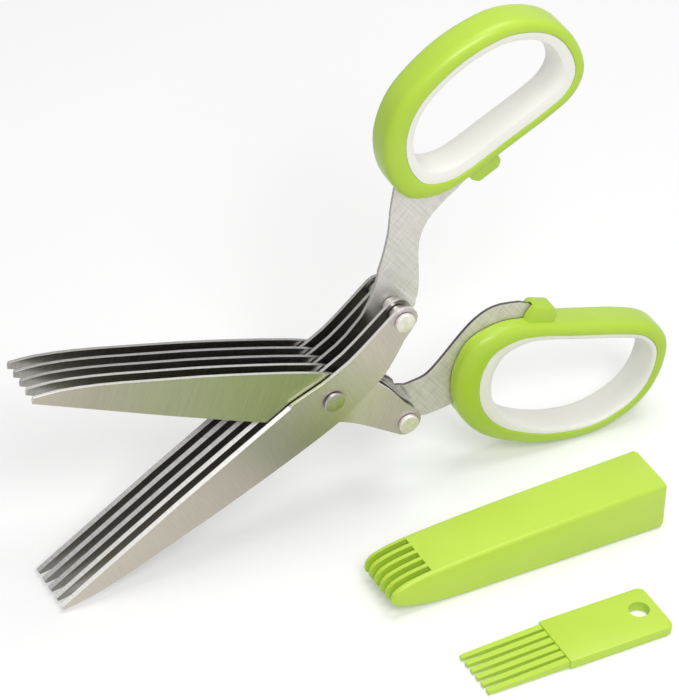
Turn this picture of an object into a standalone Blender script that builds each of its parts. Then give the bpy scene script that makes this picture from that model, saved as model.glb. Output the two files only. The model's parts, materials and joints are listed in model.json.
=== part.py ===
"""Herb scissors with five pairs of blades, and the blade cover and cleaning comb that go with them.

Lengths are in metres and Z is up. The blades point to -X and the pivot axis runs along Y. The origin
is on the table, under the middle of the whole set.

Each half of the scissors is drawn in its own closed frame: the pivot axis is at zero, the first
number of a point runs along the half from the blade tips to the handle, and the second runs up.
The thumb half carries the lower blades and the upper, smaller loop. The finger half carries the
upper blades and the lower, larger loop.
"""

import math

import bmesh
import bpy
from mathutils import Matrix, Vector

# Place of the set
PIVOT_X = -0.01144
PIVOT_Y = 0.0288
THUMB_ANGLE = math.radians(28.45)
FINGER_ANGLE = math.radians(-18.42)

# Fit between separate pieces
GAP = 0.0003
OVERRUN = 0.002

# Blades
BLADE_COUNT = 5
BLADE_REACH = 0.0920
BLADE_HALF_WIDTH = 0.0083
BLADE_THICKNESS = 0.0010
BLADE_PITCH = 0.0040
GRIND_WIDTH = 0.00075
TAIL_REACH = 0.0280
TAIL_OFFSET = 0.0083
TAIL_RADIUS = 0.0043

# Rivets, sleeves and spacers
HEAD_HEIGHT = 0.0007
TAIL_HEAD_HEIGHT = 0.0011
HEAD_CHAMFER = 0.00035
PIVOT_HEAD_RADIUS = 0.0031
PIVOT_RADIUS = 0.0020
SPACER_RADIUS = 0.0042
TAIL_HEAD_RADIUS = 0.0029
TAIL_RIVET_RADIUS = 0.0016
SLEEVE_RADIUS = 0.0029

# Tangs
HANDLE_REACH = 0.0660
CREASE_RAMP = 0.0012
TANG_DEPTH_SHARE = 0.45

# Handles
HANDLE_DEPTH = 0.0110
LOOP_STEPS = 4
RIM_ROUNDING = 0.0005
CREST_SHARE = 0.72
CREST_DEPTH = 0.0030
FINGER_TILT = math.radians(1.5)

# Inner rings
RING_HALF_DEPTH = 0.0052
RING_EDGE_SHARE = 0.35
RING_ROUNDNESS = 0.7

# Tabs that the tang ends run into
TAB_WIDTH = 0.0063
TAB_LENGTH = 0.0098
TAB_HEIGHT = 0.0051
TAB_ROOT = 0.0022
TAB_ROUNDING = 0.0011

# Blade cover
COVER_LENGTH = 0.0850
COVER_WIDTH = 0.0172
COVER_HEIGHT = 0.0156
COVER_WALL = 0.0013
COVER_ROUNDING = 0.0010
CORNER_MOST_SHARE = 0.45
COVER_X = -0.0005
COVER_Y = -0.0309
COVER_TURN = math.radians(0.9)
SLOT_COUNT = 5
SLOT_PITCH = 0.0031
SLOT_WIDTH = 0.0019
SLOT_END = 0.0112
SLOT_NOTCH = 0.0024

# Cleaning comb
COMB_LENGTH = 0.0325
COMB_WIDTH = 0.0177
COMB_THICKNESS = 0.0030
COMB_CORNER = 0.0022
COMB_ROUNDING = 0.0004
COMB_X = 0.0322
COMB_Y = -0.0687
COMB_TURN = math.radians(0.5)
COMB_HOLE_RADIUS = 0.0030
COMB_HOLE_INSET = 0.0055
COMB_HOLE_OFFSET = 0.0010
TINE_COUNT = 6
TINE_LENGTH = 0.0246
TINE_PITCH = 0.0029
TINE_ROOT_SIZE = (0.0020, 0.0022)
TINE_TIP_SIZE = (0.0016, 0.0010)
TINE_LIFT = 0.0003

# Outline of a blade: along and across, as shares of its reach and half width
SPINE_SHARES = ((-1.0, -0.14), (-0.924, -0.39), (-0.80, -0.60), (-0.65, -0.74), (-0.47, -0.88),
                (-0.28, -0.97), (-0.09, -1.0), (0.0, -0.94))
CUT_SHARES = ((-0.105, 1.02), (-0.115, 1.01), (-0.33, 0.82), (-0.54, 0.61), (-0.76, 0.36), (-1.0, 0.08))
GRIND_END_SHARE = -0.11

# Outline of a tail: shares of the tail rivet's place along and across
TAIL_SPINE_SHARES = ((0.21, -0.80), (0.52, -0.53), (0.73, -0.14), (0.90, 0.26))
TAIL_TOP_SHARES = ((0.61, 1.19), (0.34, 0.99), (0.01, 0.93))

# Tangs: shares of the handle reach, both ways. The halves meet along the parting curve when closed
PARTING_SHARES = ((0.394, -0.018), (0.432, -0.009), (0.477, 0.012), (0.512, 0.033))
THUMB_PARTING_SHARES = ((0.545, 0.061), (0.586, 0.130), (0.620, 0.203), (0.647, 0.261), (0.674, 0.306),
                        (0.717, 0.351), (0.771, 0.382), (0.856, 0.405))
FINGER_PARTING_SHARES = ((0.536, 0.066), (0.570, 0.137), (0.602, 0.213), (0.630, 0.272), (0.659, 0.319),
                         (0.705, 0.366), (0.765, 0.394), (0.856, 0.408))
THUMB_ARM_SHARES = ((0.917, 0.418), (1.015, 0.444))
FINGER_ARM_SHARES = ((0.900, 0.398), (0.932, 0.388))
THUMB_TANG_SHARES = ((0.299, 0.170), (0.374, 0.222), (0.438, 0.288), (0.492, 0.341), (0.548, 0.406),
                     (0.594, 0.468), (0.638, 0.542), (0.708, 0.640))
FINGER_TANG_SHARES = ((0.350, -0.182), (0.430, -0.197), (0.510, -0.195), (0.580, -0.176),
                      (0.664, -0.138), (0.706, -0.115))

# The bend lines of the tangs: shares of the tail reach, both ways
THUMB_CREASE_SHARES = ((1.056, 0.672), (1.167, 0.236))
FINGER_CREASE_SHARES = ((0.964, -0.047), (1.268, -0.339))

# The loops' middles and sizes, and where the tabs start: shares of the handle reach
THUMB_RIM_SHARES = ((1.189, 0.784), (0.792, 0.494))
THUMB_LOOP_SHARES = ((1.167, 0.789), (0.932, 0.615))
THUMB_OPENING_SHARES = ((1.185, 0.792), (0.675, 0.388))
FINGER_RIM_SHARES = ((1.199, 0.028), (0.894, 0.511))
FINGER_LOOP_SHARES = ((1.176, 0.0215), (1.067, 0.627))
FINGER_OPENING_SHARES = ((1.231, 0.028), (0.787, 0.454))
THUMB_TAB_SHARE = 0.979
FINGER_TAB_SHARE = 0.898

# A loop: shares of its length and width, from the straight side round to the straight side
LOOP_SHARES = ((0.15, 0.026), (0.26, 0.0), (0.42, 0.0), (0.60, 0.0), (0.74, 0.0), (0.87, 0.025), (0.965, 0.14),
               (1.0, 0.38), (0.97, 0.62), (0.885, 0.80), (0.75, 0.94), (0.54, 1.0), (0.36, 0.975),
               (0.21, 0.90), (0.085, 0.74), (0.015, 0.53), (0.0, 0.31), (0.035, 0.145))
THUMB_WRAP_SHARES = (0.903, 1.069)
FINGER_WRAP_SHARES = (0.792, 1.056)

# Tabs: shares of their length and height
THUMB_TAB_SHARES = ((0.02, 0.62), (0.14, 1.0), (0.86, 1.0), (1.0, 0.65))
FINGER_TAB_SHARES = ((0.02, 0.20), (0.13, 0.86), (0.84, 0.86), (1.0, 0.45))

# Cover: shares of its length, then of its height at the belly and at the top, then of its width
COVER_SHARES = ((-0.014, 0.330, 0.440, 0.90), (-0.008, 0.279, 0.525, 0.96), (0.008, 0.228, 0.600, 1.0),
                (0.033, 0.172, 0.655, 1.0), (0.068, 0.116, 0.705, 1.0), (0.115, 0.060, 0.748, 1.0),
                (0.180, 0.020, 0.788, 1.0), (0.270, 0.0, 0.828, 1.0), (0.460, 0.0, 0.889, 1.0),
                (0.710, 0.0, 0.950, 1.0), (0.988, 0.0, 1.0, 1.0))
MOUTH_SHARES = (1.0, 0.030, 0.970, 0.945)

# Smoothness of round pieces
ROUND_STEPS = 20
HOLE_STEPS = 16
CREST_STEPS = 5
RING_STEPS = 8
CORNER_STEPS = 3

# Derived places
STACK_FRONT = HEAD_HEIGHT + GAP
MIDDLE_BLADE = BLADE_COUNT // 2
HANDLE_PLANE = STACK_FRONT + BLADE_PITCH * MIDDLE_BLADE + BLADE_THICKNESS + GAP / 2
TAIL_RIVET = (TAIL_REACH, TAIL_OFFSET)

STEEL = ((0.60, 0.58, 0.53, 1.0), 0.30, 1.0)
BRIGHT_STEEL = ((0.72, 0.71, 0.68, 1.0), 0.22, 1.0)
GREEN = ((0.515, 0.753, 0.080, 1.0), 0.38, 0.0)
IVORY = ((0.88, 0.87, 0.80, 1.0), 0.45, 0.0)

for old in list(bpy.data.objects):
    bpy.data.objects.remove(old)

parts = bpy.data.collections.new("herb_scissors")
cutters = bpy.data.collections.new("cutters")
bpy.context.scene.collection.children.link(parts)
bpy.context.scene.collection.children.link(cutters)


def placed(shares, length, width):
    return [(along * length, across * width) for along, across in shares]


def mirrored(points):
    return [(along, -across) for along, across in points]


def curve_through(points, steps, closed=False):
    """A centripetal spline through the points, with this many steps from each point to the next."""
    spots = [Vector(point) for point in points]
    if closed:
        spots = [spots[-1]] + spots + spots[:2]
    else:
        spots = [2 * spots[0] - spots[1]] + spots + [2 * spots[-1] - spots[-2]]
    found = []
    for p0, p1, p2, p3 in zip(spots, spots[1:], spots[2:], spots[3:]):
        t1 = math.sqrt((p1 - p0).length)
        t2 = t1 + math.sqrt((p2 - p1).length)
        t3 = t2 + math.sqrt((p3 - p2).length)
        for step in range(steps):
            t = t1 + (t2 - t1) * step / steps
            a1 = p0.lerp(p1, t / t1)
            a2 = p1.lerp(p2, (t - t1) / (t2 - t1))
            a3 = p2.lerp(p3, (t - t2) / (t3 - t2))
            b1 = a1.lerp(a2, t / t2)
            b2 = a2.lerp(a3, (t - t1) / (t3 - t1))
            found.append(tuple(b1.lerp(b2, (t - t1) / (t2 - t1))))
    if not closed:
        found.append(tuple(points[-1]))
    return found


def arc(centre, radius, start, end, steps):
    found = []
    for step in range(steps + 1):
        angle = math.radians(start + (end - start) * step / steps)
        found.append((centre[0] + radius * math.cos(angle), centre[1] + radius * math.sin(angle)))
    return found


def circle(centre, radius):
    return arc(centre, radius, 0, 360, HOLE_STEPS)[:-1]


def moved_left(points, distance, closed=False):
    """The line of points moved to its own left by a distance."""
    spots = [Vector(point) for point in points]
    count = len(spots)
    found = []
    for i, spot in enumerate(spots):
        before = spots[i - 1] if closed or i else 2 * spots[0] - spots[1]
        after = spots[(i + 1) % count] if closed or i + 1 < count else 2 * spots[-1] - spots[-2]
        first = (spot - before).normalized().orthogonal()
        second = (after - spot).normalized().orthogonal()
        found.append(tuple(spot + (first + second) * distance / (1 + first.dot(second))))
    return found


def loop(shares, side, tilt):
    """A closed loop outline. The side is 1 where the straight stretch is at the bottom, or -1."""
    centre, size = placed(shares, HANDLE_REACH, HANDLE_REACH)
    found = []
    for along, across in curve_through(LOOP_SHARES, LOOP_STEPS, closed=True):
        out = Vector(((along - 0.5) * size[0], side * (across - 0.5) * size[1]))
        out.rotate(Matrix.Rotation(tilt, 2))
        found.append((centre[0] + out.x, centre[1] + out.y))
    return found


def material(name, look):
    colour, roughness, metallic = look
    made = bpy.data.materials.new(name)
    made.use_nodes = True
    shader = made.node_tree.nodes["Principled BSDF"]
    shader.inputs["Base Color"].default_value = colour
    shader.inputs["Roughness"].default_value = roughness
    shader.inputs["Metallic"].default_value = metallic
    made.diffuse_color = colour
    return made


def piece(name, mesh, parent, look):
    """A named sub-part from a mesh in its parent's frame."""
    made = bpy.data.objects.new(name, mesh)
    mesh.name = name
    mesh.materials.clear()
    mesh.materials.append(material(name, look))
    mesh.shade_smooth()
    mesh.set_sharp_from_angle(angle=math.radians(32))
    made.parent = parent
    parts.objects.link(made)
    return made


def cutter(name, mesh, parent):
    made = bpy.data.objects.new(name, mesh)
    made.parent = parent
    made.hide_render = True
    made.display_type = "WIRE"
    cutters.objects.link(made)
    return made


def boolean(target, operation, tool):
    change = target.modifiers.new(tool.name, "BOOLEAN")
    change.operation = operation
    change.object = tool
    change.solver = "EXACT"


def soften(target, width, steps):
    bevel = target.modifiers.new("rounding", "BEVEL")
    bevel.width = width
    bevel.segments = steps
    bevel.limit_method = "ANGLE"
    bevel.angle_limit = math.radians(40)


def flat_solid(outlines, start, thickness, turn):
    """A plate from a closed outline and its holes, turned from the ground plane and moved along."""
    curve = bpy.data.curves.new("outline", "CURVE")
    curve.dimensions = "2D"
    curve.fill_mode = "BOTH"
    curve.extrude = thickness / 2
    for outline in outlines:
        spline = curve.splines.new("POLY")
        spline.points.add(len(outline) - 1)
        for point, (along, across) in zip(spline.points, outline):
            point.co = (along, across, 0, 1)
        spline.use_cyclic_u = True
    holder = bpy.data.objects.new("outline", curve)
    parts.objects.link(holder)
    holder.matrix_world = turn @ Matrix.Translation((0, 0, start + thickness / 2))
    graph = bpy.context.evaluated_depsgraph_get()
    mesh = bpy.data.meshes.new_from_object(holder.evaluated_get(graph))
    mesh.transform(holder.matrix_world)
    bpy.data.objects.remove(holder)
    bpy.data.curves.remove(curve)
    shape = bmesh.new()
    shape.from_mesh(mesh)
    bmesh.ops.remove_doubles(shape, verts=shape.verts, dist=GAP / 100)
    bmesh.ops.dissolve_limit(shape, angle_limit=math.radians(0.5), verts=shape.verts, edges=shape.edges)
    bmesh.ops.recalc_face_normals(shape, faces=shape.faces)
    shape.to_mesh(mesh)
    shape.free()
    return mesh


def plate(outlines, front, thickness):
    """A plate that stands upright, its front face at this depth behind the pivot head."""
    upright = Matrix(((1, 0, 0, 0), (0, 0, 1, 0), (0, 1, 0, 0), (0, 0, 0, 1)))
    return flat_solid(outlines, front, thickness, upright)


def skin(name, rings, closed):
    """A surface over a row of equal rings, joined end to end or capped at both ends."""
    mesh = bpy.data.meshes.new(name)
    shape = bmesh.new()
    rows = [[shape.verts.new(point) for point in ring] for ring in rings]
    following = rows[1:] + rows[:1] if closed else rows[1:]
    for row, other in zip(rows, following):
        for i in range(len(row)):
            shape.faces.new((row[i - 1], row[i], other[i], other[i - 1]))
    if not closed:
        shape.faces.new(rows[0])
        shape.faces.new(rows[-1])
    bmesh.ops.recalc_face_normals(shape, faces=shape.faces)
    shape.to_mesh(mesh)
    shape.free()
    return mesh


def turned(name, profile, spot, parent, look):
    """A turned piece on an axis along Y, from radii and depths that run round the section."""
    mesh = bpy.data.meshes.new(name)
    count = len(profile)
    edges = [(i, (i + 1) % count) for i in range(count)]
    if min(radius for radius, depth in profile) == 0:
        edges.pop()
    mesh.from_pydata([(radius, 0, depth) for radius, depth in profile], edges, [])
    made = bpy.data.objects.new(name, mesh)
    mesh.materials.append(material(name, look))
    made.location = (spot[0], 0, spot[1])
    made.rotation_euler.x = math.radians(-90)
    made.parent = parent
    parts.objects.link(made)
    spin = made.modifiers.new("turning", "SCREW")
    spin.steps = ROUND_STEPS
    spin.render_steps = ROUND_STEPS
    spin.use_merge_vertices = True
    spin.merge_threshold = GAP / 100
    return made


def rivet_profile(front, rear, head_radius, height, radius):
    """Depths grow to the rear. The profile starts at the rear end, and each head is chamfered."""
    return ((0, rear), (head_radius - HEAD_CHAMFER, rear), (head_radius, rear - HEAD_CHAMFER),
            (head_radius, rear - height), (radius, rear - height), (radius, front + height),
            (head_radius, front + height), (head_radius, front + HEAD_CHAMFER),
            (head_radius - HEAD_CHAMFER, front), (0, front))


def washer_profile(front, rear, outer, inner):
    return ((outer, rear), (outer, front), (inner, front), (inner, rear))


# Outlines of the loops
thumb_rim = loop(THUMB_RIM_SHARES, 1, 0)
thumb_outside = loop(THUMB_LOOP_SHARES, 1, 0)
thumb_opening = loop(THUMB_OPENING_SHARES, 1, 0)
finger_rim = loop(FINGER_RIM_SHARES, -1, FINGER_TILT)
finger_outside = loop(FINGER_LOOP_SHARES, -1, FINGER_TILT)
finger_opening = loop(FINGER_OPENING_SHARES, -1, FINGER_TILT)


def turned_height(points, angle):
    """The lowest height of points once their half is turned about the pivot."""
    return min(along * math.sin(angle) + across * math.cos(angle) for along, across in points)


# Both halves stand on the table, the thumb half on its blade tips and the finger half on its loop
tip = placed(SPINE_SHARES[:1], BLADE_REACH, BLADE_HALF_WIDTH)
PIVOT_Z = -min(turned_height(tip, THUMB_ANGLE), turned_height(finger_outside, FINGER_ANGLE))


def frame(name, x, y, z, turn):
    made = bpy.data.objects.new(name, None)
    made.location = (x, y, z)
    made.rotation_euler = turn
    parts.objects.link(made)
    return made


thumb_frame = frame("thumb_frame", PIVOT_X, PIVOT_Y, PIVOT_Z, (0, -THUMB_ANGLE, 0))
finger_frame = frame("finger_frame", PIVOT_X, PIVOT_Y, PIVOT_Z, (0, -FINGER_ANGLE, 0))


# Blades, drawn as the thumb half's, whose cutting edge is up
spine = placed(SPINE_SHARES, BLADE_REACH, BLADE_HALF_WIDTH)
tail_spine = placed(TAIL_SPINE_SHARES, TAIL_REACH, TAIL_OFFSET)
tail_top = curve_through(placed(TAIL_TOP_SHARES, TAIL_REACH, TAIL_OFFSET), 2)
cut = placed(CUT_SHARES, BLADE_REACH, BLADE_HALF_WIDTH)
tail_end = arc(TAIL_RIVET, TAIL_RADIUS, -70, 100, 8)
plain_outline = curve_through(spine + tail_spine, 2) + tail_end + tail_top + cut
pivot_bore = circle((0, 0), PIVOT_RADIUS + GAP)
tail_bore = circle(TAIL_RIVET, TAIL_RIVET_RADIUS + GAP)


def wrap(rim, outside, ends, depth_share):
    """The stretch of a handle's wall that a tang end fills, this share of the wall deep."""
    count = len(rim)
    first, last = (round(share * count) for share in ends)
    found = []
    for station in range(first, last + 1):
        outer = Vector(outside[station % count])
        found.append(tuple(outer.lerp(Vector(rim[station % count]), depth_share)))
    return found


# Tangs, each with its edge towards the other half, its arm end, its stretch in the wall and its back edge
thumb_parting = curve_through(placed(PARTING_SHARES + THUMB_PARTING_SHARES, HANDLE_REACH, HANDLE_REACH), 2)
finger_parting = curve_through(placed(PARTING_SHARES + FINGER_PARTING_SHARES, HANDLE_REACH, HANDLE_REACH), 2)
thumb_front_edge = moved_left(thumb_parting, GAP) + placed(THUMB_ARM_SHARES, HANDLE_REACH, HANDLE_REACH)
finger_front_edge = moved_left(finger_parting, -GAP) + placed(FINGER_ARM_SHARES, HANDLE_REACH, HANDLE_REACH)
thumb_wrap = wrap(thumb_rim, thumb_outside, THUMB_WRAP_SHARES, TANG_DEPTH_SHARE)
finger_wrap = wrap(finger_rim, finger_outside, FINGER_WRAP_SHARES, TANG_DEPTH_SHARE)
thumb_back_edge = curve_through(placed(THUMB_TANG_SHARES, HANDLE_REACH, HANDLE_REACH), 2)
finger_back_edge = curve_through(placed(FINGER_TANG_SHARES, HANDLE_REACH, HANDLE_REACH), 2)

near_spine = curve_through(spine + tail_spine[:3], 2)
thumb_outline = near_spine + thumb_front_edge + thumb_wrap[::-1] + thumb_back_edge[::-1] + tail_top[1:] + cut
finger_outline = (mirrored(near_spine) + finger_front_edge + finger_wrap[::-1] + finger_back_edge[::-1]
                  + mirrored(tail_top) + mirrored(cut))


def grind(mesh, side):
    """The steep ground edge: on one face, the cutting edge is drawn in from the tip to the grind's end."""
    depths = [vertex.co.y for vertex in mesh.vertices]
    middle = (min(depths) + max(depths)) / 2
    for vertex in mesh.vertices:
        ground = vertex.co.x < GRIND_END_SHARE * BLADE_REACH and vertex.co.z * side > 0
        if ground and (vertex.co.y - middle) * side < 0:
            vertex.co.z -= side * GRIND_WIDTH


def joggle(mesh, crease_shares, step):
    """The bend at the crease that brings a tang into the handles' middle plane."""
    start, end = (Vector((x, 0, z)) for x, z in placed(crease_shares, TAIL_REACH, TAIL_REACH))
    along = (end - start).normalized()
    across = Vector((-along.z, 0, along.x))
    shape = bmesh.new()
    shape.from_mesh(mesh)
    for offset in (0, CREASE_RAMP):
        everything = shape.verts[:] + shape.edges[:] + shape.faces[:]
        bmesh.ops.bisect_plane(shape, geom=everything, plane_co=start + across * offset, plane_no=across)
    for vertex in shape.verts:
        past = (vertex.co - start).dot(across) / CREASE_RAMP
        vertex.co.y += step * min(max(past, 0), 1)
    shape.to_mesh(mesh)
    shape.free()


def thumb_front(index):
    return STACK_FRONT + BLADE_PITCH * index


def finger_front(index):
    return thumb_front(index) + BLADE_THICKNESS + GAP


tang_front = HANDLE_PLANE - BLADE_THICKNESS / 2
for index in range(BLADE_COUNT):
    if index == MIDDLE_BLADE:
        thumb_plate = [thumb_outline, pivot_bore, tail_bore]
        finger_plate = [finger_outline, pivot_bore, mirrored(tail_bore)]
    else:
        thumb_plate = [plain_outline, pivot_bore, tail_bore]
        finger_plate = [mirrored(outline) for outline in thumb_plate]
    thumb_mesh = plate(thumb_plate, thumb_front(index), BLADE_THICKNESS)
    finger_mesh = plate(finger_plate, finger_front(index), BLADE_THICKNESS)
    grind(thumb_mesh, 1)
    grind(finger_mesh, -1)
    if index == MIDDLE_BLADE:
        joggle(thumb_mesh, THUMB_CREASE_SHARES, tang_front - thumb_front(index))
        joggle(finger_mesh, FINGER_CREASE_SHARES, tang_front - finger_front(index))
    piece(f"thumb_blade_{index + 1}", thumb_mesh, thumb_frame, STEEL)
    piece(f"finger_blade_{index + 1}", finger_mesh, finger_frame, STEEL)


# Pivot and tail rivets, with the spacers and sleeves that keep the blades apart
last = BLADE_COUNT - 1
stack_rear = finger_front(last) + BLADE_THICKNESS
pivot_rear = stack_rear + GAP + HEAD_HEIGHT
pin_profile = rivet_profile(0, pivot_rear, PIVOT_HEAD_RADIUS, HEAD_HEIGHT, PIVOT_RADIUS)
turned("pivot_pin", pin_profile, (0, 0), finger_frame, BRIGHT_STEEL)
for side, half, front_of in ((1, "thumb", thumb_front), (-1, "finger", finger_front)):
    holder = thumb_frame if side == 1 else finger_frame
    spot = (TAIL_REACH, side * TAIL_OFFSET)
    front = front_of(0) - GAP - TAIL_HEAD_HEIGHT
    rear = front_of(last) + BLADE_THICKNESS + GAP + TAIL_HEAD_HEIGHT
    profile = rivet_profile(front, rear, TAIL_HEAD_RADIUS, TAIL_HEAD_HEIGHT, TAIL_RIVET_RADIUS)
    turned(f"{half}_rivet", profile, spot, holder, BRIGHT_STEEL)
    for index in range(last):
        near = front_of(index) + BLADE_THICKNESS + GAP
        far = front_of(index + 1) - GAP
        profile = washer_profile(near, far, SLEEVE_RADIUS, TAIL_RIVET_RADIUS + GAP)
        turned(f"{half}_sleeve_{index + 1}", profile, spot, holder, BRIGHT_STEEL)
for index in range(last):
    near = finger_front(index) + BLADE_THICKNESS + GAP
    far = thumb_front(index + 1) - GAP
    profile = washer_profile(near, far, SPACER_RADIUS, PIVOT_RADIUS + GAP)
    turned(f"pivot_spacer_{index + 1}", profile, (0, 0), finger_frame, BRIGHT_STEEL)


def crest_section(wall):
    """Section of a handle's wall: how far out from the rim, and the depth from the middle plane."""
    half = HANDLE_DEPTH / 2
    reach = wall * CREST_SHARE
    depth = min(reach, CREST_DEPTH)
    section = [(0, RIM_ROUNDING - half), (RIM_ROUNDING / 3, RIM_ROUNDING / 3 - half), (RIM_ROUNDING, -half)]
    for side in (-1, 1):
        for step in range(CREST_STEPS + 1):
            share = step / CREST_STEPS
            angle = math.pi / 2 * (share if side == 1 else 1 - share)
            out = wall - reach + reach * math.cos(angle)
            section.append((out, side * (half - depth + depth * math.sin(angle))))
    section += [(out, -deep) for out, deep in section[2::-1]]
    return section


def grip_mesh(name, rim, outside):
    rings = []
    for inner, outer in zip(rim, outside):
        inner = Vector(inner)
        across = Vector(outer) - inner
        ring = []
        for out, deep in crest_section(across.length):
            spot = inner + across.normalized() * out
            ring.append((spot.x, HANDLE_PLANE + deep, spot.y))
        rings.append(ring)
    return skin(name, rings, closed=True)


def ring_mesh(name, rim, opening, side):
    """The inner ring: a D section from the handle's rim, less a gap, to the finger opening."""
    seat = moved_left(rim, side * GAP, closed=True)
    rings = []
    for outer, inner in zip(seat, opening):
        layers = [(0, -RING_HALF_DEPTH)]
        for step in range(RING_STEPS + 1):
            angle = math.pi * (step / RING_STEPS - 0.5)
            bulge = abs(math.cos(angle)) ** RING_ROUNDNESS
            share = RING_EDGE_SHARE + (1 - RING_EDGE_SHARE) * bulge
            layers.append((share, RING_HALF_DEPTH * math.sin(angle)))
        layers.append((0, RING_HALF_DEPTH))
        ring = []
        for share, deep in layers:
            spot = Vector(outer).lerp(Vector(inner), share)
            ring.append((spot.x, HANDLE_PLANE + deep, spot.y))
        rings.append(ring)
    return skin(name, rings, closed=True)


def tab_mesh(start, wall, side, shares):
    """The tab on a handle's straight side, rooted in its wall."""
    outline = [(start, wall + side * TAB_ROOT)]
    outline += [(start + along * TAB_LENGTH, wall - side * out * TAB_HEIGHT) for along, out in shares]
    outline.append((start + TAB_LENGTH, wall + side * TAB_ROOT))
    return plate([outline], HANDLE_PLANE - TAB_WIDTH / 2, TAB_WIDTH)


def tang_slot(front_edge, wall_stretch, back_edge, side):
    """The room for a tang in its handle, a gap larger all round."""
    outline = front_edge[len(front_edge) // 2:] + wall_stretch[::-1] + back_edge[len(back_edge) // 2:][::-1]
    grown = moved_left(outline, -side * GAP, closed=True)
    return plate([grown], tang_front - GAP, BLADE_THICKNESS + 2 * GAP)


def handle(half, holder, rim, outside, opening, side, tab, slot):
    """One looped grip with its tab joined on and its tang slot cut, and the ring inside it."""
    grip = piece(f"{half}_grip", grip_mesh(f"{half}_grip", rim, outside), holder, GREEN)
    tab_tool = cutter(f"{half}_tab", tab, holder)
    soften(tab_tool, TAB_ROUNDING, 2)
    slot_tool = cutter(f"{half}_slot", slot, holder)
    boolean(grip, "UNION", tab_tool)
    boolean(grip, "DIFFERENCE", slot_tool)
    piece(f"{half}_ring", ring_mesh(f"{half}_ring", rim, opening, side), holder, IVORY)


(thumb_middle, thumb_size), (finger_middle, finger_size) = (
    placed(shares, HANDLE_REACH, HANDLE_REACH) for shares in (THUMB_LOOP_SHARES, FINGER_LOOP_SHARES))
thumb_wall = thumb_middle[1] - thumb_size[1] / 2
finger_wall = finger_middle[1] + finger_size[1] / 2
handle("thumb", thumb_frame, thumb_rim, thumb_outside, thumb_opening, 1,
       tab_mesh(THUMB_TAB_SHARE * HANDLE_REACH, thumb_wall, 1, THUMB_TAB_SHARES),
       tang_slot(thumb_front_edge, thumb_wrap, thumb_back_edge, 1))
handle("finger", finger_frame, finger_rim, finger_outside, finger_opening, -1,
       tab_mesh(FINGER_TAB_SHARE * HANDLE_REACH, finger_wall, -1, FINGER_TAB_SHARES),
       tang_slot(finger_front_edge, finger_wrap, finger_back_edge, -1))


def rounded_section(x, half_width, low, high, radius):
    """A rounded rectangle across X, its corners as large as the height allows."""
    radius = min(radius, (high - low) * CORNER_MOST_SHARE)
    section = []
    for corner in range(4):
        side = 1 if corner in (0, 3) else -1
        middle_y = side * (half_width - radius)
        middle_z = high - radius if corner < 2 else low + radius
        start = 90 * corner
        for y, z in arc((middle_y, middle_z), radius, start, start + 90, CORNER_STEPS):
            section.append((x, y, z))
    return section


# Blade cover, open at its mouth and slotted at its nose
cover_frame = frame("cover_frame", PIVOT_X + COVER_X, PIVOT_Y + COVER_Y, 0, (0, 0, COVER_TURN))
cover_rings = []
for along, belly, top, width in COVER_SHARES + (MOUTH_SHARES,):
    cover_rings.append(rounded_section(along * COVER_LENGTH, width * COVER_WIDTH / 2, belly * COVER_HEIGHT,
                                       top * COVER_HEIGHT, COVER_ROUNDING))
cover = piece("blade_cover", skin("blade_cover", cover_rings, closed=False), cover_frame, GREEN)


def cover_height(x, column):
    """The belly's or the top's height at a distance from the nose."""
    share = x / COVER_LENGTH
    rows = [(row[0], row[column] * COVER_HEIGHT) for row in COVER_SHARES]
    for (x0, z0), (x1, z1) in zip(rows, rows[1:]):
        if x0 <= share <= x1:
            return z0 + (z1 - z0) * (share - x0) / (x1 - x0)
    return rows[-1][1]


cavity_rings = []
for x in (SLOT_END + GAP, COVER_LENGTH / 2, COVER_LENGTH + OVERRUN):
    cavity_rings.append(rounded_section(x, COVER_WIDTH / 2 - COVER_WALL, cover_height(x, 1) + COVER_WALL,
                                        cover_height(x, 2) - COVER_WALL, COVER_ROUNDING - GAP))
cavity_mesh = skin("cover_cavity", cavity_rings, closed=False)
boolean(cover, "DIFFERENCE", cutter("cover_cavity", cavity_mesh, cover_frame))

nose = COVER_SHARES[0][0] * COVER_LENGTH - OVERRUN
slot_floor = [(nose, -OVERRUN), (SLOT_NOTCH, -OVERRUN)]
slot_floor.append((SLOT_NOTCH, cover_height(SLOT_NOTCH, 1) + COVER_WALL))
past_notch = [row for row in COVER_SHARES if row[0] * COVER_LENGTH > SLOT_NOTCH]
slot_floor += [(row[0] * COVER_LENGTH, row[1] * COVER_HEIGHT + COVER_WALL) for row in past_notch[:2]]
inner_end = SLOT_END + OVERRUN
slot_floor.append((inner_end, cover_height(inner_end, 1) + COVER_WALL + GAP))
slot_ceiling = cover_height(SLOT_END, 2) - COVER_WALL - GAP
slot_top = COVER_HEIGHT + OVERRUN
slot_outline = slot_floor + [(inner_end, slot_ceiling), (SLOT_END, slot_ceiling), (SLOT_END, slot_top),
                             (nose, slot_top)]
for index in range(SLOT_COUNT):
    side_place = (index - (SLOT_COUNT - 1) / 2) * SLOT_PITCH - SLOT_WIDTH / 2
    slot = cutter(f"cover_slot_{index + 1}", plate([slot_outline], side_place, SLOT_WIDTH), cover_frame)
    boolean(cover, "DIFFERENCE", slot)


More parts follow.
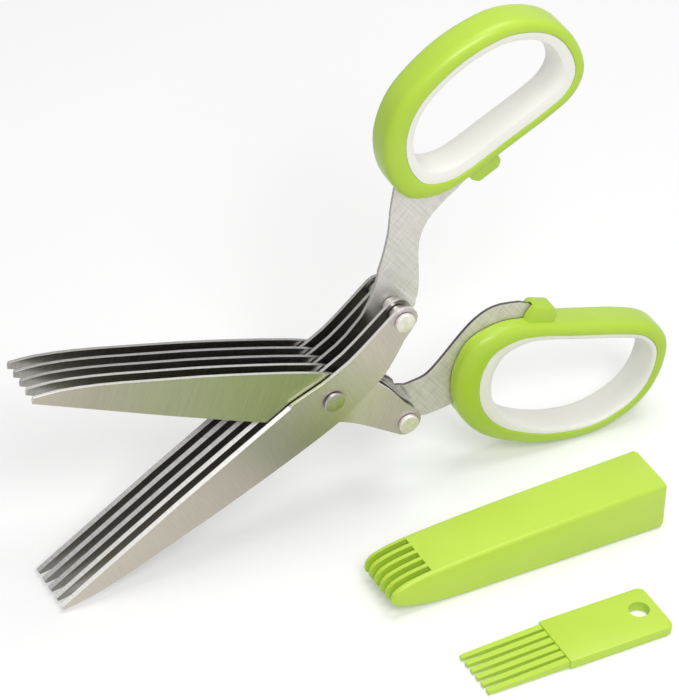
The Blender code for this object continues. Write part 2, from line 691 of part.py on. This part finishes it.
# Cleaning comb, a plate with a hanging hole and a row of tines
comb_frame = frame("comb_frame", PIVOT_X + COMB_X, PIVOT_Y + COMB_Y, 0, (0, 0, COMB_TURN))
comb_edge = COMB_WIDTH / 2
corner_x = COMB_LENGTH - COMB_CORNER
corner_y = comb_edge - COMB_CORNER
comb_outline = [(0, comb_edge), (0, -comb_edge)]
comb_outline += arc((corner_x, -corner_y), COMB_CORNER, -90, 0, CORNER_STEPS)
comb_outline += arc((corner_x, corner_y), COMB_CORNER, 0, 90, CORNER_STEPS)
comb_plate = flat_solid([comb_outline], 0, COMB_THICKNESS, Matrix.Identity(4))
comb = piece("cleaning_comb", comb_plate, comb_frame, GREEN)
soften(comb, COMB_ROUNDING, 2)
hole_outline = circle((COMB_LENGTH - COMB_HOLE_INSET, COMB_HOLE_OFFSET), COMB_HOLE_RADIUS)
hole_tool = flat_solid([hole_outline], -OVERRUN, COMB_THICKNESS + 2 * OVERRUN, Matrix.Identity(4))
boolean(comb, "DIFFERENCE", cutter("comb_hole", hole_tool, comb_frame))
for index in range(TINE_COUNT):
    y = (index - (TINE_COUNT - 1) / 2) * TINE_PITCH
    rings = []
    for x, (width, height) in ((OVERRUN, TINE_ROOT_SIZE), (-TINE_LENGTH, TINE_TIP_SIZE)):
        low = TINE_LIFT
        ring = [(x, y - width / 2, low), (x, y + width / 2, low), (x, y + width / 2, low + height),
                (x, y - width / 2, low + height)]
        rings.append(ring)
    boolean(comb, "UNION", cutter(f"comb_tine_{index + 1}", skin("tine", rings, closed=False), comb_frame))
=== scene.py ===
"""The looks of the herb scissors, their blade cover and their cleaning comb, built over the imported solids."""

import json
import math

import bmesh
import bpy
from mathutils import Matrix, Vector

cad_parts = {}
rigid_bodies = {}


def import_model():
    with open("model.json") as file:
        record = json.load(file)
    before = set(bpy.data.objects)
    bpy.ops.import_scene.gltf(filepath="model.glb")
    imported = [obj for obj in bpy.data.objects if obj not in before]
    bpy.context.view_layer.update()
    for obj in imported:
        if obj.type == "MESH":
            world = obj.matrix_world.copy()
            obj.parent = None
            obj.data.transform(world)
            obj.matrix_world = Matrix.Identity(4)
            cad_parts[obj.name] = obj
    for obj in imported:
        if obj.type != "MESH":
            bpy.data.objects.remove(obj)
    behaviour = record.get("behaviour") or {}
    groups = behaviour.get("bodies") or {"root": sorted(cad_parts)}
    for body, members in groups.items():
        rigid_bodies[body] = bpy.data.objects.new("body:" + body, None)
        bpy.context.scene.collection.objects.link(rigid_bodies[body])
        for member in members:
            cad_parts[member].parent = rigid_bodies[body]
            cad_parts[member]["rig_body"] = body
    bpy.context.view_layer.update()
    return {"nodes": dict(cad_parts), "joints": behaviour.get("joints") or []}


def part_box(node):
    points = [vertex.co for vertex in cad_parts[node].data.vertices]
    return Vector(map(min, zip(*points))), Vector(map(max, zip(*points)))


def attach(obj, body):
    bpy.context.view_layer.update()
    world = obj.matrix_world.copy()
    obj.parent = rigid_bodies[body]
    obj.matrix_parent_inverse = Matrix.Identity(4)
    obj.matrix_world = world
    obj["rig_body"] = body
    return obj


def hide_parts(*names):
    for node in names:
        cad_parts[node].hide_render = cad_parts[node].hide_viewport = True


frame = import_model()


# Blades. Each half has five stamped stainless steel blades, brushed across their width, with one long
# edge ground steep and bright. The middle blade of each half runs on as the tang that its grip is
# moulded on, and is brushed both ways there.
joints = {joint["name"]: joint for joint in frame["joints"]}
pivot = Vector(joints["pivot"]["pos_m"])

# How steeply each half lies in the photograph
half_angles = {"thumb": math.radians(28.45), "finger": math.radians(-18.42)}
weld_distance = 0.000002
flat_angle = math.radians(0.6)
blade_bevel = 0.00012
bevel_steps = 2
bevel_angle = math.radians(30)
edge_facing = 0.7

# Distances from the pivot along a half, towards its grip
tip_distance = -0.092
tail_distance = 0.036
tang_start = 0.020
tang_fade = 0.003
dulling_distance = 0.022


def fresh_mesh(node):
    """The solid's surface with its corners joined up again and no stored shading."""
    shape = bmesh.new()
    shape.from_mesh(frame["nodes"][node].data)
    bmesh.ops.remove_doubles(shape, verts=shape.verts, dist=weld_distance)
    bmesh.ops.dissolve_limit(shape, angle_limit=flat_angle, verts=shape.verts, edges=shape.edges)
    mesh = bpy.data.meshes.new(node + "_finish")
    shape.to_mesh(mesh)
    shape.free()
    if "custom_normal" in mesh.attributes:
        mesh.attributes.remove(mesh.attributes["custom_normal"])
    mesh.materials.clear()
    mesh.shade_smooth()
    return mesh


def fit_piece(name, mesh, nodes, look):
    """Puts a finished piece in place of the solids that it stands for."""
    made = bpy.data.objects.new(name, mesh)
    bpy.context.scene.collection.objects.link(made)
    mesh.materials.append(look)
    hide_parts(*nodes)
    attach(made, frame["nodes"][nodes[0]]["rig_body"])
    return made


def break_edges(made):
    """Rounds a blade's hard edges a little, as tumbling does."""
    bevel = made.modifiers.new("broken edges", "BEVEL")
    bevel.width = blade_bevel
    bevel.segments = bevel_steps
    bevel.limit_method = "ANGLE"
    bevel.angle_limit = bevel_angle
    bevel.use_clamp_overlap = True
    made.modifiers.new("even shading", "WEIGHTED_NORMAL").keep_sharp = True


def edge_looks(made, angle, *looks):
    """Gives the thin edges of a plate their own finish, and a second one past the start of the tang."""
    for look in looks:
        made.data.materials.append(look)
    for face in made.data.polygons:
        if abs(face.normal.y) < edge_facing:
            out = face.center - pivot
            along = out.x * math.cos(angle) + out.z * math.sin(angle)
            face.material_index = len(looks) if along > tang_start else 1


def new_group(name, inputs, outputs):
    """A shader node group with named number sockets, and its input and output nodes."""
    group = bpy.data.node_groups.new(name, "ShaderNodeTree")
    for socket, value in inputs.items():
        made = group.interface.new_socket(name=socket, in_out="INPUT", socket_type="NodeSocketFloat")
        made.default_value = value
    for socket in outputs:
        group.interface.new_socket(name=socket, in_out="OUTPUT", socket_type="NodeSocketFloat")
    return group, group.nodes.new("NodeGroupInput"), group.nodes.new("NodeGroupOutput")


def place_group(tree, group, values):
    """A node group placed in a material with its own values. Gives its first output."""
    placed = tree.nodes.new("ShaderNodeGroup")
    placed.node_tree = group
    for socket, value in values.items():
        placed.inputs[socket].default_value = value
    return placed.outputs[0]


def feed(tree, socket, value):
    """Sets a socket to a number, or links another socket to it."""
    if isinstance(value, (int, float)):
        socket.default_value = value
    else:
        tree.links.new(value, socket)


def math_node(tree, operation, *values):
    """A math node whose inputs are numbers or sockets."""
    node = tree.nodes.new("ShaderNodeMath")
    node.operation = operation
    for socket, value in zip(node.inputs, values):
        feed(tree, socket, value)
    return node.outputs[0]


# Fine straight scratches, as a belt leaves them. Turn sets which way they run
thickness_lines = 500.0
brushing, inlet, outlet = new_group(
    "brushed_lines", {"Turn": 0.0, "Lines per metre": 2000.0, "Length ratio": 0.03}, ("Tone",))
place = brushing.nodes.new("ShaderNodeTexCoord")
turned = brushing.nodes.new("ShaderNodeVectorRotate")
turned.rotation_type = "Y_AXIS"
brushing.links.new(place.outputs["Object"], turned.inputs["Vector"])
brushing.links.new(inlet.outputs["Turn"], turned.inputs["Angle"])
lengthwise = math_node(brushing, "MULTIPLY", inlet.outputs["Lines per metre"], inlet.outputs["Length ratio"])
scaling = brushing.nodes.new("ShaderNodeCombineXYZ")
brushing.links.new(inlet.outputs["Lines per metre"], scaling.inputs["X"])
scaling.inputs["Y"].default_value = thickness_lines
brushing.links.new(lengthwise, scaling.inputs["Z"])
stretched = brushing.nodes.new("ShaderNodeVectorMath")
stretched.operation = "MULTIPLY"
brushing.links.new(turned.outputs[0], stretched.inputs[0])
brushing.links.new(scaling.outputs[0], stretched.inputs[1])
scratches = brushing.nodes.new("ShaderNodeTexNoise")
scratches.inputs["Scale"].default_value = 1.0
scratches.inputs["Detail"].default_value = 3.0
scratches.inputs["Roughness"].default_value = 0.6
brushing.links.new(stretched.outputs[0], scratches.inputs["Vector"])
brushing.links.new(scratches.outputs["Fac"], outlet.inputs["Tone"])

# How far along its half a point lies, from 0 to 1 between two places on the half laid level
measuring, inlet, outlet = new_group("along_half", {"Angle": 0.0, "Start": 0.0, "End": 1.0}, ("Share",))
place = measuring.nodes.new("ShaderNodeTexCoord")
levelled = measuring.nodes.new("ShaderNodeVectorRotate")
levelled.rotation_type = "Y_AXIS"
levelled.inputs["Center"].default_value = pivot
measuring.links.new(place.outputs["Object"], levelled.inputs["Vector"])
measuring.links.new(inlet.outputs["Angle"], levelled.inputs["Angle"])
apart = measuring.nodes.new("ShaderNodeSeparateXYZ")
measuring.links.new(levelled.outputs[0], apart.inputs[0])
share = measuring.nodes.new("ShaderNodeMapRange")
measuring.links.new(apart.outputs["X"], share.inputs["Value"])
measuring.links.new(inlet.outputs["Start"], share.inputs["From Min"])
measuring.links.new(inlet.outputs["End"], share.inputs["From Max"])
measuring.links.new(share.outputs["Result"], outlet.inputs["Share"])


def scratched(tree, lines, ratio, lays):
    """The tone of one lay of scratches, or of two that cross."""
    tones = [place_group(tree, brushing, {"Turn": lay, "Lines per metre": lines, "Length ratio": ratio})
             for lay in lays]
    if len(tones) == 1:
        return tones[0]
    return math_node(tree, "MULTIPLY", math_node(tree, "ADD", *tones), 1 / len(tones))


def along_half(tree, angle, start, end):
    """How far a point lies along its half, from 0 at one distance from the pivot to 1 at another."""
    return place_group(tree, measuring, {"Angle": angle, "Start": pivot.x + start, "End": pivot.x + end})


def toned(tree, tone, dark, pale, low=0.30, high=0.70):
    """A colour that runs from dark to pale with a tone."""
    ramp = tree.nodes.new("ShaderNodeValToRGB")
    ramp.color_ramp.elements[0].position = low
    ramp.color_ramp.elements[0].color = (*dark, 1)
    ramp.color_ramp.elements[1].position = high
    ramp.color_ramp.elements[1].color = (*pale, 1)
    tree.links.new(tone, ramp.inputs["Fac"])
    return ramp.outputs["Color"]


def mixed(tree, kind, factor, first, second):
    """Two colours mixed by a number or a socket."""
    both = tree.nodes.new("ShaderNodeMix")
    both.data_type = "RGBA"
    both.blend_type = kind
    feed(tree, both.inputs["Factor"], factor)
    tree.links.new(first, both.inputs["A"])
    tree.links.new(second, both.inputs["B"])
    return both.outputs["Result"]


def new_material(name):
    """A material, its nodes and its shader."""
    made = bpy.data.materials.new(name)
    made.use_nodes = True
    return made, made.node_tree, made.node_tree.nodes["Principled BSDF"]


def bumped(tree, shader, height, strength, depth):
    """Makes a shader's surface rise and fall with a height from 0 to 1."""
    bump = tree.nodes.new("ShaderNodeBump")
    bump.inputs["Strength"].default_value = strength
    bump.inputs["Distance"].default_value = depth
    tree.links.new(height, bump.inputs["Height"])
    tree.links.new(bump.outputs["Normal"], shader.inputs["Normal"])


def brushed_steel(name, pale, dark, roughness, lines, ratio, depth, *lays):
    """Stainless steel with one lay of scratches, or with two that cross."""
    made, tree, shader = new_material(name)
    shader.inputs["Metallic"].default_value = 1.0
    tone = scratched(tree, lines, ratio, lays)
    tone.node.name = "scratches"
    spread = math_node(tree, "MULTIPLY_ADD", tone, -roughness_swing, roughness + roughness_swing / 2)
    tree.links.new(toned(tree, tone, dark, pale), shader.inputs["Base Color"])
    tree.links.new(spread, shader.inputs["Roughness"])
    bumped(tree, shader, tone, scratch_strength, depth)
    return made


def dull(made, share, amount):
    """Adds to a steel's roughness as a share goes from 0 to 1."""
    tree = made.node_tree
    roughness = tree.nodes["Principled BSDF"].inputs["Roughness"]
    duller = math_node(tree, "MULTIPLY_ADD", share, amount, roughness.links[0].from_socket)
    tree.links.new(duller, roughness)


def paint_reflection_on_plate(made, angle, tints):
    """Paints a reflection of green plastic into a front plate's colour from its tip to its tail, and leaves the
    tail duller than the blade.
    """
    tree = made.node_tree
    shader = tree.nodes["Principled BSDF"]
    shader.inputs["Anisotropic"].default_value = 0.8
    ramp = tree.nodes.new("ShaderNodeValToRGB")
    for spot, tint in tints[1:-1]:
        ramp.color_ramp.elements.new(spot).color = (*tint, 1)
    for end in (0, -1):
        ramp.color_ramp.elements[end].color = (*tints[end][1], 1)
    tree.links.new(along_half(tree, angle, tip_distance, tail_distance), ramp.inputs["Fac"])
    base = shader.inputs["Base Color"]
    tinted = mixed(tree, "MULTIPLY", 1.0, base.links[0].from_socket, ramp.outputs["Color"])
    tree.links.new(tinted, base)
    dull(made, along_half(tree, angle, 0.0, dulling_distance), tail_dulling)


def shade_tang_between_blades(made, angle):
    """Gives a tang the inner blades' finish, with their painted shade, up to where it leaves them."""
    tree = made.node_tree
    past = along_half(tree, angle, tang_start, tang_start + tang_fade)
    inner = toned(tree, tree.nodes["scratches"].outputs[0], shaded_inner_finish[1], shaded_inner_finish[0])
    base = tree.nodes["Principled BSDF"].inputs["Base Color"]
    tree.links.new(mixed(tree, "MIX", past, inner, base.links[0].from_socket), base)
    dull(made, past, tang_dulling)


# The pale and the dark tone of each finish, and its roughness
front_finish = ((1.0, 1.0, 1.0), (0.87, 0.87, 0.87), 0.36)
# The inner blades are painted darker than the front blade: painted shade between the plates
shaded_inner_finish = ((0.38, 0.37, 0.34), (0.27, 0.26, 0.24), 0.30)
front_edge_finish = ((0.72, 0.71, 0.68), (0.58, 0.57, 0.54), 0.36)
# The inner blades' edges are painted darker, the further in the darker: painted shade between the plates
pale_edge_finish = ((0.62, 0.61, 0.58), (0.44, 0.44, 0.42), 0.38)
shaded_ground_edge_finish = ((0.44, 0.43, 0.42), (0.28, 0.28, 0.27), 0.40)
tang_finishes = {"thumb": ((0.80, 0.77, 0.755), (0.57, 0.55, 0.54), 0.30),
                 "finger": ((0.82, 0.765, 0.775), (0.54, 0.505, 0.51), 0.30)}
# The sheared tang edges are painted dark, the finger's darkest: painted shade along the tang's edge
shaded_sheared_finishes = {"thumb": ((0.46, 0.45, 0.43), (0.30, 0.29, 0.28), 0.42),
                    "finger": ((0.16, 0.15, 0.14), (0.09, 0.085, 0.08), 0.42)}
tail_dulling = 0.32
tang_dulling = 0.30

# Scratches in a metre across them, how much fewer along them, and how deep they look
front_scratches = (4200, 0.03, 0.000005)
inner_scratches = (3600, 0.03, 0.000008)
tang_scratches = (2400, 0.05, 0.000008)
edge_scratches = (3600, 0.02, 0.000008)
tang_lays = (math.radians(38), math.radians(-42))
scratch_strength = 0.5
roughness_swing = 0.10

# The front blades' colour carries a painted reflection of the green plastic in front of them, most of all near
# the pivot. Each tint has its share of the way from the tip to the tail
painted_reflection_tints = {
    "thumb": ((0.0, (0.64, 0.60, 0.52)), (0.31, (0.55, 0.505, 0.43)), (0.54, (0.43, 0.405, 0.35)),
              (0.70, (0.52, 0.475, 0.47)), (0.86, (0.79, 0.71, 0.70)), (1.0, (0.80, 0.76, 0.74))),
    "finger": ((0.0, (0.54, 0.49, 0.41)), (0.14, (0.44, 0.42, 0.32)), (0.32, (0.38, 0.405, 0.25)),
               (0.50, (0.355, 0.385, 0.215)), (0.72, (0.345, 0.365, 0.225)),
               (0.80, (0.78, 0.70, 0.71)), (1.0, (0.84, 0.77, 0.78)))}

for half, angle in half_angles.items():
    front_steel_with_painted_reflection = brushed_steel(half + "_front_steel_with_painted_reflection", *front_finish, *front_scratches, angle)
    paint_reflection_on_plate(front_steel_with_painted_reflection, angle, painted_reflection_tints[half])
    shaded_inner_steel = brushed_steel(half + "_shaded_inner_steel", *shaded_inner_finish, *inner_scratches, angle)
    tang_steel = brushed_steel(half + "_tang_steel", *tang_finishes[half], *tang_scratches, *tang_lays)
    shade_tang_between_blades(tang_steel, angle)
    front_edge = brushed_steel(half + "_front_edge", *front_edge_finish, *edge_scratches, angle)
    pale_edge = brushed_steel(half + "_pale_edge", *pale_edge_finish, *edge_scratches, angle)
    shaded_ground_edge = brushed_steel(half + "_shaded_ground_edge", *shaded_ground_edge_finish, *edge_scratches, angle)
    shaded_sheared_edge = brushed_steel(half + "_shaded_sheared_edge", *shaded_sheared_finishes[half], *edge_scratches, angle)
    blade_looks = {1: (front_steel_with_painted_reflection, front_edge), 2: (shaded_inner_steel, pale_edge),
                   3: (tang_steel, shaded_ground_edge, shaded_sheared_edge), 4: (shaded_inner_steel, shaded_ground_edge),
                   5: (shaded_inner_steel, shaded_ground_edge)}
    for number, (face_look, *thin_looks) in blade_looks.items():
        node = f"{half}_blade_{number}"
        blade = fit_piece(node + "_finish", fresh_mesh(node), (node,), face_look)
        edge_looks(blade, angle, *thin_looks)
        break_edges(blade)


# Pivot pin, tail rivets, spacers and sleeves. They are turned from stainless steel and polished. The pin
# and rivets are headed over at both ends, on washers between the blades that keep them in step.
round_steps = 64
axis_weld = 0.000001
least_edge = 0.0000001
turned_crease = math.radians(35)
grain_spots = 900.0
grain_shares = (0.86, 0.86, 0.85)
crown_steps = 3
head_chamfer = 0.0003
washer_chamfer = 0.0001
washers_each = 4

# A tone that varies in soft spots, finer the more of them there are in a metre
mottling, inlet, outlet = new_group("mottled_tone", {"Spots per metre": 900.0}, ("Tone",))
place = mottling.nodes.new("ShaderNodeTexCoord")
spots = mottling.nodes.new("ShaderNodeTexNoise")
spots.inputs["Detail"].default_value = 2.0
mottling.links.new(place.outputs["Object"], spots.inputs["Vector"])
mottling.links.new(inlet.outputs["Spots per metre"], spots.inputs["Scale"])
mottling.links.new(spots.outputs["Fac"], outlet.inputs["Tone"])


def polished(name, colour, roughness):
    """Turned and polished stainless steel, with a faint grain."""
    made, tree, shader = new_material(name)
    shader.inputs["Metallic"].default_value = 1.0
    shader.inputs["Roughness"].default_value = roughness
    grain = place_group(tree, mottling, {"Spots per metre": grain_spots})
    dark = [part * share for part, share in zip(colour, grain_shares)]
    tree.links.new(toned(tree, grain, dark, colour, low=0.35, high=0.65), shader.inputs["Base Color"])
    return made


def turned_mesh(name, profile, centre):
    """A closed section of radii and depths turned round an axis along Y."""
    shape = bmesh.new()
    corners = [shape.verts.new((centre[0] + radius, depth, centre[1])) for radius, depth in profile]
    edges = [shape.edges.new(pair) for pair in zip(corners, corners[1:] + corners[:1])]
    bmesh.ops.spin(shape, geom=corners + edges, cent=(centre[0], 0, centre[1]), axis=(0, 1, 0),
                   angle=math.tau, steps=round_steps, use_merge=True)
    bmesh.ops.remove_doubles(shape, verts=shape.verts, dist=axis_weld)
    bmesh.ops.dissolve_degenerate(shape, edges=shape.edges, dist=least_edge)
    bmesh.ops.recalc_face_normals(shape, faces=shape.faces)
    mesh = bpy.data.meshes.new(name)
    shape.to_mesh(mesh)
    shape.free()
    mesh.shade_smooth()
    mesh.set_sharp_from_angle(angle=turned_crease)
    return mesh


def round_place(node):
    """Where the axis of a round solid stands, its outer radius, and where its front and rear are."""
    low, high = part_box(node)
    return ((low.x + high.x) / 2, (low.z + high.z) / 2), (high.x - low.x) / 2, low.y, high.y


pin_steel = polished("pin_steel", (0.46, 0.43, 0.42), 0.26)
rivet_steel = polished("rivet_steel", (0.88, 0.83, 0.81), 0.50)
washer_steel = polished("washer_steel", (0.62, 0.60, 0.57), 0.28)

# The shank's radius, the head's height and the finish
rivets = {"pivot_pin": (0.0020, 0.0007, pin_steel), "thumb_rivet": (0.0016, 0.0011, rivet_steel),
          "finger_rivet": (0.0016, 0.0011, rivet_steel)}
for node, (shank, head_height, look) in rivets.items():
    centre, head, front, rear = round_place(node)
    crown = []
    for step in range(crown_steps + 1):
        angle = math.radians(90 * step / crown_steps)
        crown.append((head - head_chamfer + head_chamfer * math.sin(angle),
                      head_chamfer - head_chamfer * math.cos(angle)))
    profile = [(0.0, front)] + [(radius, front + deep) for radius, deep in crown]
    profile += [(head, front + head_height), (shank, front + head_height), (shank, rear - head_height),
                (head, rear - head_height)]
    profile += [(radius, rear - deep) for radius, deep in reversed(crown)] + [(0.0, rear)]
    fit_piece(node + "_finish", turned_mesh(node, profile, centre), (node,), look)
washer_bores = {"pivot_spacer": 0.0023, "thumb_sleeve": 0.0019, "finger_sleeve": 0.0019}
for kind, bore in washer_bores.items():
    for number in range(1, washers_each + 1):
        node = f"{kind}_{number}"
        centre, outer, front, rear = round_place(node)
        profile = [(bore, front), (outer - washer_chamfer, front), (outer, front + washer_chamfer),
                   (outer, rear - washer_chamfer), (outer - washer_chamfer, rear), (bore, rear)]
        fit_piece(node + "_finish", turned_mesh(node, profile, centre), (node,), washer_steel)


# Grips. Each is a lime green satin plastic loop, moulded round the end of its tang, with a soft crest
# along its outside and a tab on its straight side that the tang's arm runs into.
cloud_spots = 45.0
skin_spots = 2500.0
skin_swing = 0.10
skin_strength = 0.2
skin_depth = 0.00001
moulded_crease = math.radians(32)


def moulded(name, colour, deep, roughness):
    """Satin moulded plastic with a faint uneven tone and a fine matt skin."""
    made, tree, shader = new_material(name)
    shader.inputs["IOR"].default_value = 1.49
    shader.inputs["Specular IOR Level"].default_value = 0.45
    cloud = place_group(tree, mottling, {"Spots per metre": cloud_spots})
    skin = place_group(tree, mottling, {"Spots per metre": skin_spots})
    spread = math_node(tree, "MULTIPLY_ADD", skin, skin_swing, roughness - skin_swing / 2)
    tree.links.new(toned(tree, cloud, deep, colour, low=0.26, high=0.74), shader.inputs["Base Color"])
    tree.links.new(spread, shader.inputs["Roughness"])
    bumped(tree, shader, skin, skin_strength, skin_depth)
    return made


grip_green = moulded("grip_green", (0.500, 0.715, 0.062), (0.455, 0.670, 0.050), 0.31)
for half in half_angles:
    node = half + "_grip"
    grip = fit_piece(node + "_finish", fresh_mesh(node), (node,), grip_green)
    grip.data.set_sharp_from_angle(angle=moulded_crease)


# Rings. Each is a lining of soft ivory plastic, moulded into the grip's loop and bonded to it all round,
# with its edges rounded towards the finger.
bond = 0.00028
outer_wall_depth = 0.0095
ring_crease = math.radians(40)


def bonded_mesh(node):
    """The ring with its outer wall moved out to meet the grip. Only that wall's faces run so deep."""
    mesh = fresh_mesh(node)
    shape = bmesh.new()
    shape.from_mesh(mesh)
    moves = {}
    for face in shape.faces:
        depths = [corner.co.y for corner in face.verts]
        if max(depths) - min(depths) > outer_wall_depth:
            for corner in face.verts:
                moves[corner] = moves.get(corner, Vector()) + face.normal
    for corner, way in moves.items():
        way.y = 0
        corner.co += way.normalized() * bond
    shape.to_mesh(mesh)
    shape.free()
    mesh.shade_smooth()
    return mesh


ring_ivory = moulded("ring_ivory", (0.94, 0.935, 0.87), (0.91, 0.905, 0.84), 0.45)
for half in half_angles:
    node = half + "_ring"
    ring = fit_piece(node + "_finish", bonded_mesh(node), (node,), ring_ivory)
    ring.data.set_sharp_from_angle(angle=ring_crease)


# Blade cover. A long box moulded in the grips' green plastic, with an open mouth at one end, and a nose
# with five slots that the blade tips slide into. It lies loose on the table.
cover_green = moulded("cover_green", (0.565, 0.785, 0.080), (0.530, 0.750, 0.070), 0.36)
cover = fit_piece("blade_cover_finish", fresh_mesh("blade_cover"), ("blade_cover",), cover_green)
cover.data.set_sharp_from_angle(angle=moulded_crease)


# Cleaning comb. A thin plate moulded in the cover's green plastic, with a hanging hole and six tines
# that push cuttings out between the blades. It lies loose on the table.
comb = fit_piece("cleaning_comb_finish", fresh_mesh("cleaning_comb"), ("cleaning_comb",), cover_green)
comb.data.set_sharp_from_angle(angle=moulded_crease)


# Table, light and camera. A white table stands under two soft lights, one in front and one above, with
# the camera where the photograph was taken from.
table_reach = 3
table_drop = 0.0002
table_glow = 0.23
room_light = 0.38


def seen_as_background(tree):
    """1 for what the camera sees, directly, mirrored or through glass, and 0 for light on the object."""
    path = tree.nodes.new("ShaderNodeLightPath")
    seen = math_node(tree, "MAXIMUM", path.outputs["Is Camera Ray"], path.outputs["Is Glossy Ray"])
    return math_node(tree, "MAXIMUM", seen, path.outputs["Is Transmission Ray"])


table = bpy.data.meshes.new("table")
table.from_pydata([(-table_reach, -table_reach, 0), (table_reach, -table_reach, 0),
                   (table_reach, table_reach, 0), (-table_reach, table_reach, 0)], [], [(0, 1, 2, 3)])
table_top = bpy.data.objects.new("table", table)
bpy.context.scene.collection.objects.link(table_top)
table_top.location.z = -table_drop
white, tree, paint = new_material("white_table")
paint.inputs["Base Color"].default_value = (0.80, 0.80, 0.80, 1)
paint.inputs["Roughness"].default_value = 0.9
paint.inputs["Specular IOR Level"].default_value = 0.0
glow = tree.nodes.new("ShaderNodeEmission")
glow.inputs["Color"].default_value = (1, 1, 1, 1)
tree.links.new(math_node(tree, "MULTIPLY", seen_as_background(tree), table_glow), glow.inputs["Strength"])
both = tree.nodes.new("ShaderNodeAddShader")
tree.links.new(paint.outputs[0], both.inputs[0])
tree.links.new(glow.outputs[0], both.inputs[1])
tree.links.new(both.outputs[0], tree.nodes["Material Output"].inputs["Surface"])
table.materials.append(white)

world = bpy.data.worlds.new("studio")
bpy.context.scene.world = world
world.use_nodes = True
tree = world.node_tree
background = tree.nodes["Background"]
background.inputs["Color"].default_value = (1, 1, 1, 1)
strength = math_node(tree, "MULTIPLY_ADD", seen_as_background(tree), 1 - room_light, room_light)
tree.links.new(strength, background.inputs["Strength"])

lamp_target = Vector((0, 0, 0.04))
for name, spot, size, power in (("front_softbox", (-0.15, -0.75, 0.95), 0.5, 6.0),
                                ("top_softbox", (0.22, 0.00, 1.15), 0.7, 5.0)):
    lamp = bpy.data.lights.new(name, "AREA")
    lamp.shape = "DISK"
    lamp.size = size
    lamp.energy = power
    holder = bpy.data.objects.new(name, lamp)
    bpy.context.scene.collection.objects.link(holder)
    holder.location = spot
    holder.rotation_euler = (lamp_target - Vector(spot)).to_track_quat("-Z", "Y").to_euler()

azimuth = math.radians(-28.2)
elevation = math.radians(38.4)
roll = math.radians(1.9)
distance = 1.050
aside = -0.001124
above = -0.01442
sensor_height = 36
focal_pixels = 3885
picture_pixels = 700
back = Vector((math.sin(azimuth) * math.cos(elevation), -math.cos(azimuth) * math.cos(elevation),
               math.sin(elevation)))
level = Vector((math.cos(azimuth), math.sin(azimuth), 0))
upward = back.cross(level)
right = level * math.cos(roll) + upward * math.sin(roll)
up = upward * math.cos(roll) - level * math.sin(roll)
place = pivot + back * distance - right * aside - up * above
lens = bpy.data.cameras.new("camera")
lens.sensor_fit = "VERTICAL"
lens.sensor_height = sensor_height
lens.lens = sensor_height * focal_pixels / picture_pixels
lens.clip_start = 0.01
camera = bpy.data.objects.new("camera", lens)
bpy.context.scene.collection.objects.link(camera)
camera.matrix_world = Matrix(((right.x, up.x, back.x, place.x), (right.y, up.y, back.y, place.y),
                              (right.z, up.z, back.z, place.z), (0, 0, 0, 1)))
bpy.context.scene.camera = camera
bpy.context.scene.view_settings.view_transform = "Standard"
